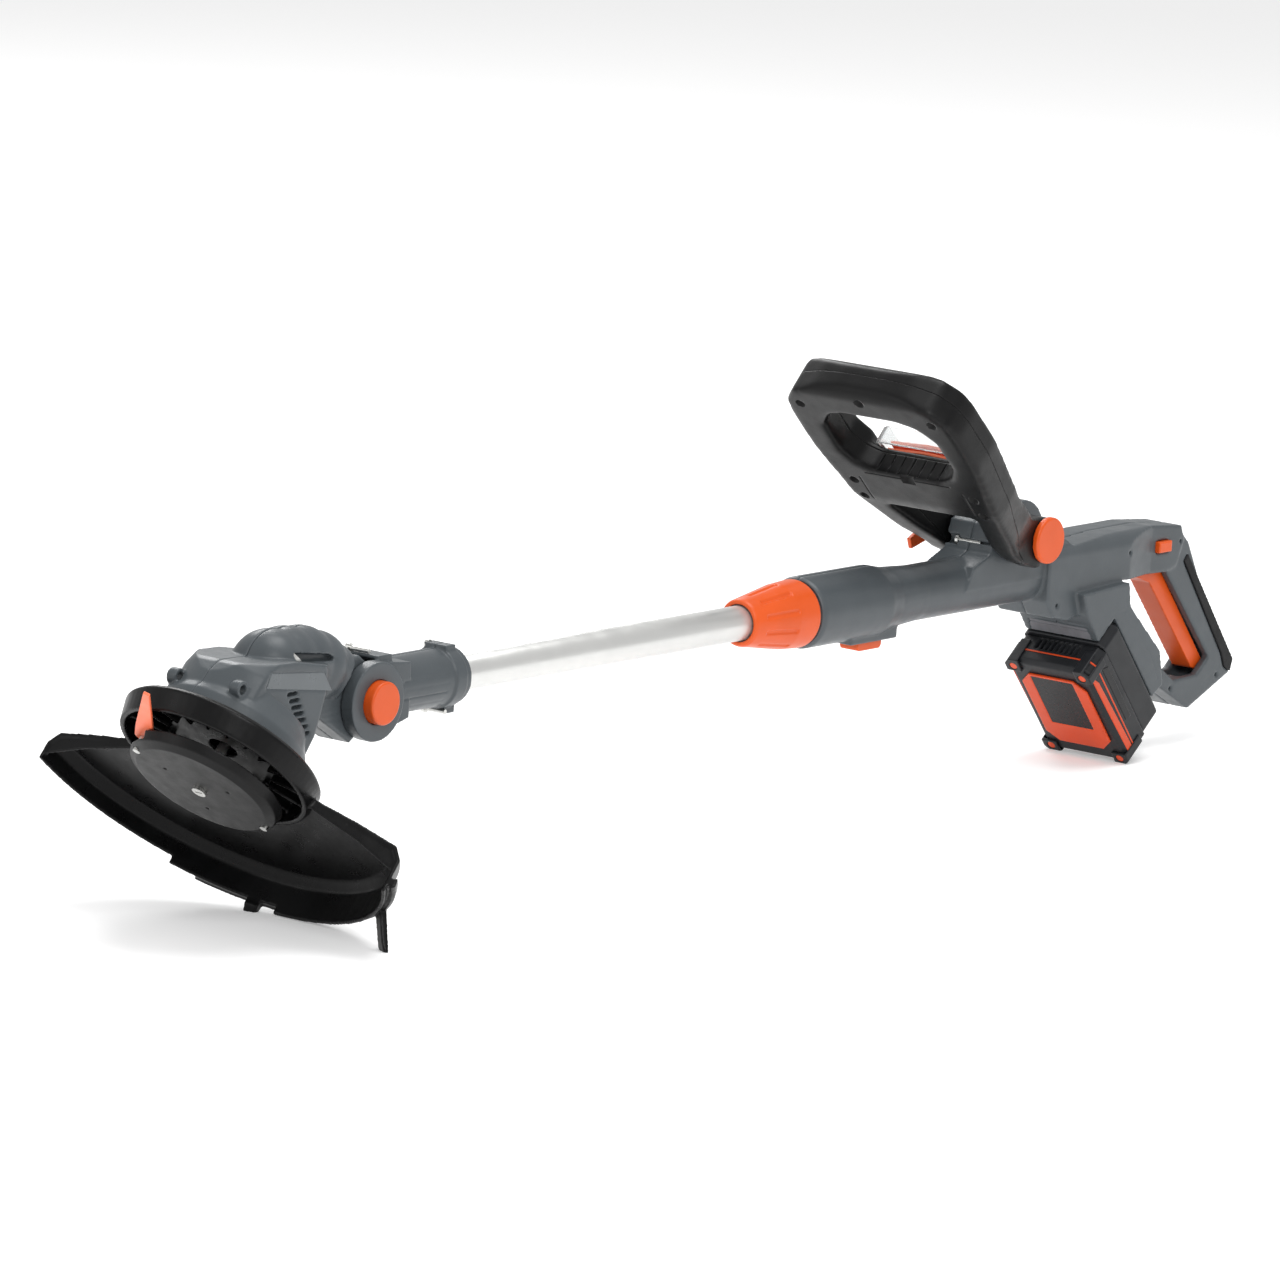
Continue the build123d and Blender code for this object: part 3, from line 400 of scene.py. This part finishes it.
def motor_hood(side):
    """Rounded hood over the motor, on one side of the centre plane."""
    shape = bmesh.new()
    for x, z, radius in ((2, 98, 27), (12, 108, 26), (24, 118, 25), (38, 124, 24.5), (52, 128, 22)):
        bmesh.ops.create_icosphere(shape, subdivisions=4, radius=radius, matrix=Matrix.Translation((x, 0, z)))
    hood = soften(from_bmesh("hood", shape, HEAD), 1.4, 12)
    knuckle = HEAD @ Matrix.Translation(KNUCKLE) @ Matrix.Rotation(-pi / 2, 4, "X")
    far_side = [(-60, 20), (120, 20), (120, 200), (-60, 200)]
    vent_slot = [(-9, 107), (22, 127), (34, 130), (-5, 102)]
    cutters = [prism(far_side, *outwards(side, 0.05, -60), HEAD),
               prism(vent_slot, *outwards(side, 17, 40), HEAD),
               rod(32.4, *outwards(side, 14.5, 60), knuckle),
               rod(25, -60, 60, knuckle)]
    for cutter in cutters:
        cut(hood, [cutter])
    return [hood]


def sleeve_cutters(side):
    """Four shallow grooves along the sleeve, on one side."""
    cutters = []
    for index in range(4):
        height = 6 * index - 9
        reach = (SLEEVE_R ** 2 - (height - SHAFT_RISE) ** 2) ** 0.5
        cutters += groove([(34, height), (80, height)], side * reach, PIVOT, 1.4, 0.9)
    return cutters


def rear_cutters(side):
    """Seam lines and panel edges on one side of the rear unit."""
    top_seam = [(782, 17), (830, 18.5), (868, 17.5)]
    skirt = [(778, -27), (792, -28.5), (836, -18)]
    dock_edge = [(823, -49), (838, -34), (855, -33), (892, -72), (902, -90)]
    grip_edge = [(930, -2), (946, -5), (1004, -82), (1007, -94), (985, -106)]
    cutters = groove(top_seam, side * BODY_HALF, TOOL)
    cutters += groove(skirt, side * BODY_HALF, TOOL)
    cutters += groove(dock_edge, side * DOCK_HALF, TOOL)
    cutters += groove(grip_edge, side * GRIP_HALF, TOOL)
    return cutters


def handle_front_cutters():
    """Panel lines, notch and crossbar ribs on the front of the loop handle."""
    cutters = []
    panel_lines = [[(79, -38), (79, 38)], [(119, -37), (119, 37)],
                   [(84, 46), (112, 46)], [(84, -46), (112, -46)]]
    for line in panel_lines:
        cutters += groove(line, LOOP_FACE, HANDLE, across="z")
    notch = [(114, -6), (124, -6), (124, 6), (114, 6)]
    cutters.append(prism(notch, LOOP_FACE - 2, LOOP_FACE + 1.8, HANDLE, "z"))
    for index in range(-3, 4):
        low, high = index * 9 - 0.8, index * 9 + 0.8
        rib_gap = [(120.6, low), (124, low), (124, high), (120.6, high)]
        cutters.append(prism(rib_gap, LOOP_FACE + 2, LOOP_FACE + 17, HANDLE, "z"))
    return cutters


def battery_cutters():
    """Nine vent slots across the front end of the battery."""
    cutters = []
    for index in range(-4, 5):
        low, high = index * 4.4 - 1.2, index * 4.4 + 1.2
        cutters.append(prism([(-3, low), (2.4, low), (2.4, high), (-3, high)], 14, 24.5, BATTERY, "z"))
    return cutters


def collar_cutters():
    """Shallow flutes along the cone of the lock collar."""
    flutes, middle, middle_radius, slope = 10, 451, 21.9, 8.7
    cutters = []
    for index in range(flutes):
        turn = Matrix.Rotation(index * 2 * pi / flutes, 4, "X")
        lie = Matrix.Translation((middle, 0, middle_radius)) @ Matrix.Rotation(radians(90 - slope), 4, "Y")
        cutters.append(rod(2.4, -15, 17, TOOL @ turn @ lie, segments=20))
    return cutters


CUTTERS = {"battery_lower_shell": battery_cutters, "lock_collar": collar_cutters}
EXTRAS = {}
for word, side in SIDES.items():
    CUTTERS["head_housing_" + word] = lambda side=side: head_cutters(side)
    CUTTERS["head_sleeve_" + word] = lambda side=side: sleeve_cutters(side)
    CUTTERS["rear_housing_" + word] = lambda side=side: rear_cutters(side)
    EXTRAS["head_housing_" + word] = lambda side=side: motor_hood(side)

# node, voxel in millimetres, rounds of smoothing
SKINS = [
    ("rear_housing_left", 1.1, 5), ("rear_housing_right", 1.1, 5),
    ("head_housing_left", 0.9, 5), ("head_housing_right", 0.9, 5),
    ("head_sleeve_left", 0.8, 3), ("head_sleeve_right", 0.8, 3),
    ("guard", 0.9, 3),
    ("battery_upper_shell", 0.8, 3), ("battery_lower_shell", 0.8, 3), ("battery_corner_guards", 0.5, 3),
    ("battery_cover", 0.5, 2), ("battery_release", 0.5, 3),
    ("grip_inlay", 0.7, 4), ("trigger", 0.6, 4), ("lock_off_button", 0.35, 4), ("rotation_latch", 0.5, 4),
    ("lock_collar", 0.6, 3), ("tilt_button", 0.45, 3), ("clamp_knob", 0.5, 3), ("clamp_lever", 0.45, 3),
    ("blade_carrier", 0.6, 2), ("cutting_blade", 0.4, 2), ("blade_case_cover", 0.6, 3),
]
for node, voxel, rounds in SKINS:
    cutters = CUTTERS[node]() if node in CUTTERS else ()
    extras = EXTRAS[node]() if node in EXTRAS else ()
    skin(node, voxel, rounds, cutters, extras)


def front_handle():
    """Both handle shells as one rounded loop, parted again by a hairline at the seam."""
    def screw_rods(radius, low, high):
        return [rod(radius, low, high, HANDLE @ Matrix.Translation((x, y, 0))) for x, y in HANDLE_SCREWS]

    piece = copy_node("front_handle_front")
    back = copy_node("front_handle_back")
    joined(piece, [back] + screw_rods(4.6, LOOP_FACE + 0.1, -31))
    soften(piece, 1.4, 45)
    everywhere = [(-40, -90), (230, -90), (230, 90), (-40, 90)]
    seam = prism(everywhere, LOOP_SEAM - 0.25, LOOP_SEAM + 0.25, HANDLE, "z")
    cut(piece, screw_rods(3.9, LOOP_FACE - 5, -33) + handle_front_cutters() + [seam])
    dress(piece, "front_handle_skin", "front_handle", "handle_black",
          "front_handle_front", "front_handle_back")


front_handle()


# ---- small pieces of their own ----
def plate(name, points, depths, body, slot, place):
    """Thin rounded plate standing a little proud of its face."""
    piece = soften(prism(points, *depths, place), 0.35, 2)
    return dress(piece, name, body, slot)


def battery_plates():
    """Orange stripe and blank black plate on each side of the battery."""
    stripe = [(5, 1.5), (17, 6.5), (90, 9.5), (92, 3.5), (52, 2.5)]
    panel = [(11, 14.5), (15, 21.5), (68, 21.5), (66, 14.5)]
    for word, side in SIDES.items():
        depths = outwards(side, BATTERY_HALF - 0.8, BATTERY_HALF + 0.35)
        plate("battery_stripe_" + word, stripe, depths, "battery", "battery_orange", BATTERY)
        plate("battery_side_plate_" + word, panel, depths, "battery", "label_black", BATTERY)


battery_plates()


def pinstripe():
    """Orange bead round the battery's lower shell."""
    proud, corner, width, low, high = 0.35, 5.0, 1.6, 10.4, 11.8
    start, end, half = -proud, BATTERY_LENGTH + proud, BATTERY_HALF + proud
    outer = [(start + corner, -half), (end - corner, -half), (end, corner - half), (end, half - corner),
             (end - corner, half), (start + corner, half), (start, half - corner), (start, corner - half)]
    shape = bmesh.new()
    rings = []
    for inset, height in ((0, low), (0, high), (width, high), (width, low)):
        ring = []
        for x, y in outer:
            inner_x = x - inset if x > BATTERY_LENGTH / 2 else x + inset
            inner_y = y - inset if y > 0 else y + inset
            ring.append(shape.verts.new((inner_x, inner_y, height)))
        rings.append(ring)
    for index in range(len(outer)):
        following = (index + 1) % len(outer)
        for lower, upper in ((0, 1), (1, 2), (2, 3), (3, 0)):
            shape.faces.new((rings[lower][index], rings[lower][following], rings[upper][following],
                             rings[upper][index]))
    piece = soften(from_bmesh("pinstripe", shape, BATTERY), 0.3, 2)
    dress(piece, "battery_pinstripe", "battery", "battery_orange")


pinstripe()


def badge_panels():
    """Blank panel, a little lighter than the housing, on each side of the head."""
    satin = moulded("badge panel", (0.105, 0.118, 0.126), 0.30, grain=500.0, bump=0.06, mottle=0.04, edge=1.2)
    outline = [(-31.5, 78.2), (12.8, 108.6), (28.5, 104.2), (-28.8, 67.6)]
    for word, side in SIDES.items():
        depths = outwards(side, BADGE_HALF - 0.5, BADGE_HALF + 0.4)
        piece = plate("badge_panel_" + word, outline, depths, "head", "housing_grey", HEAD)
        piece.data.materials[0] = satin


badge_panels()


def shaft_tube():
    """Tube with rolled ends and a thin wall."""
    inner = TUBE_R - 1.2
    roll, lip_in, lip_out = 0.4, inner + 0.2, TUBE_R - 0.3
    low, high = TUBE_ENDS
    profile = [(inner, low + roll), (lip_in, low), (lip_out, low), (TUBE_R, low + roll),
               (TUBE_R, high - roll), (lip_out, high), (lip_in, high), (inner, high - roll)]
    place = TOOL @ Matrix.Rotation(pi / 2, 4, "Y")
    dress(lathe(profile, place, 128), "shaft_tube_skin", "shaft", "tube_metal", "shaft_tube")


shaft_tube()


# ---- floor, light and camera ----
AIM = (0, 0, 0.12)
# name, place in metres, watts, size in metres
LAMPS = [("key", (-2.2, -2.6, 2.6), 52.0, 1.4), ("fill", (-3.4, 1.6, 1.6), 14.0, 2.0),
         ("rim", (1.8, 2.6, 2.4), 40.0, 1.4), ("top", (0.2, -0.2, 3.0), 46.0, 1.6)]
CAMERA_AT = (-5.1821, -3.9086, 1.3273)
CAMERA_RIGHT = (0.61580, -0.78598, 0.05490)
CAMERA_UP = (0.10902, 0.15401, 0.98204)
CAMERA_BACK = (-0.78032, -0.59876, 0.18052)
LENS = 265.4


def floor():
    """White studio paper under the tool, lit a little from within so that it reaches the white of the sky."""
    shape = bmesh.new()
    bmesh.ops.create_grid(shape, x_segments=40, y_segments=40, size=9)
    sheet = from_bmesh("studio_floor", shape, Matrix.Identity(4))
    s = Shader("studio paper")
    s.link(s.spread(s.noise(2.0), 0.75, 0.85), "Roughness")
    s.surface.inputs["Base Color"].default_value = (0.93, 0.93, 0.93, 1.0)
    s.surface.inputs["Specular IOR Level"].default_value = 0.1
    s.surface.inputs["Emission Color"].default_value = (1.0, 1.0, 1.0, 1.0)
    s.surface.inputs["Emission Strength"].default_value = 0.24
    sheet.data.materials.append(s.material)


def lights():
    """Even white surround and four soft lamps aimed at the tool."""
    world = bpy.data.worlds.new("studio")
    world.use_nodes = True
    background = world.node_tree.nodes["Background"]
    background.inputs["Color"].default_value = (1.0, 1.0, 1.0, 1.0)
    background.inputs["Strength"].default_value = 0.62
    bpy.context.scene.world = world
    for name, place, power, size in LAMPS:
        light = bpy.data.lights.new(name, "AREA")
        light.energy = power
        light.size = size
        lamp = bpy.data.objects.new(name, light)
        lamp.location = place
        lamp.rotation_euler = (Vector(AIM) - Vector(place)).to_track_quat("-Z", "Y").to_euler()
        bpy.context.scene.collection.objects.link(lamp)


def view():
    """Camera, matched to the photographed view."""
    data = bpy.data.cameras.new("camera")
    data.lens = LENS
    data.sensor_width = 36.0
    data.clip_end = 60.0
    camera = bpy.data.objects.new("camera", data)
    turn = Matrix((CAMERA_RIGHT, CAMERA_UP, CAMERA_BACK)).transposed().to_4x4()
    camera.matrix_world = Matrix.Translation(CAMERA_AT) @ turn
    bpy.context.scene.collection.objects.link(camera)
    bpy.context.scene.camera = camera
    bpy.context.scene.view_settings.view_transform = "Standard"


floor()
lights()
view()
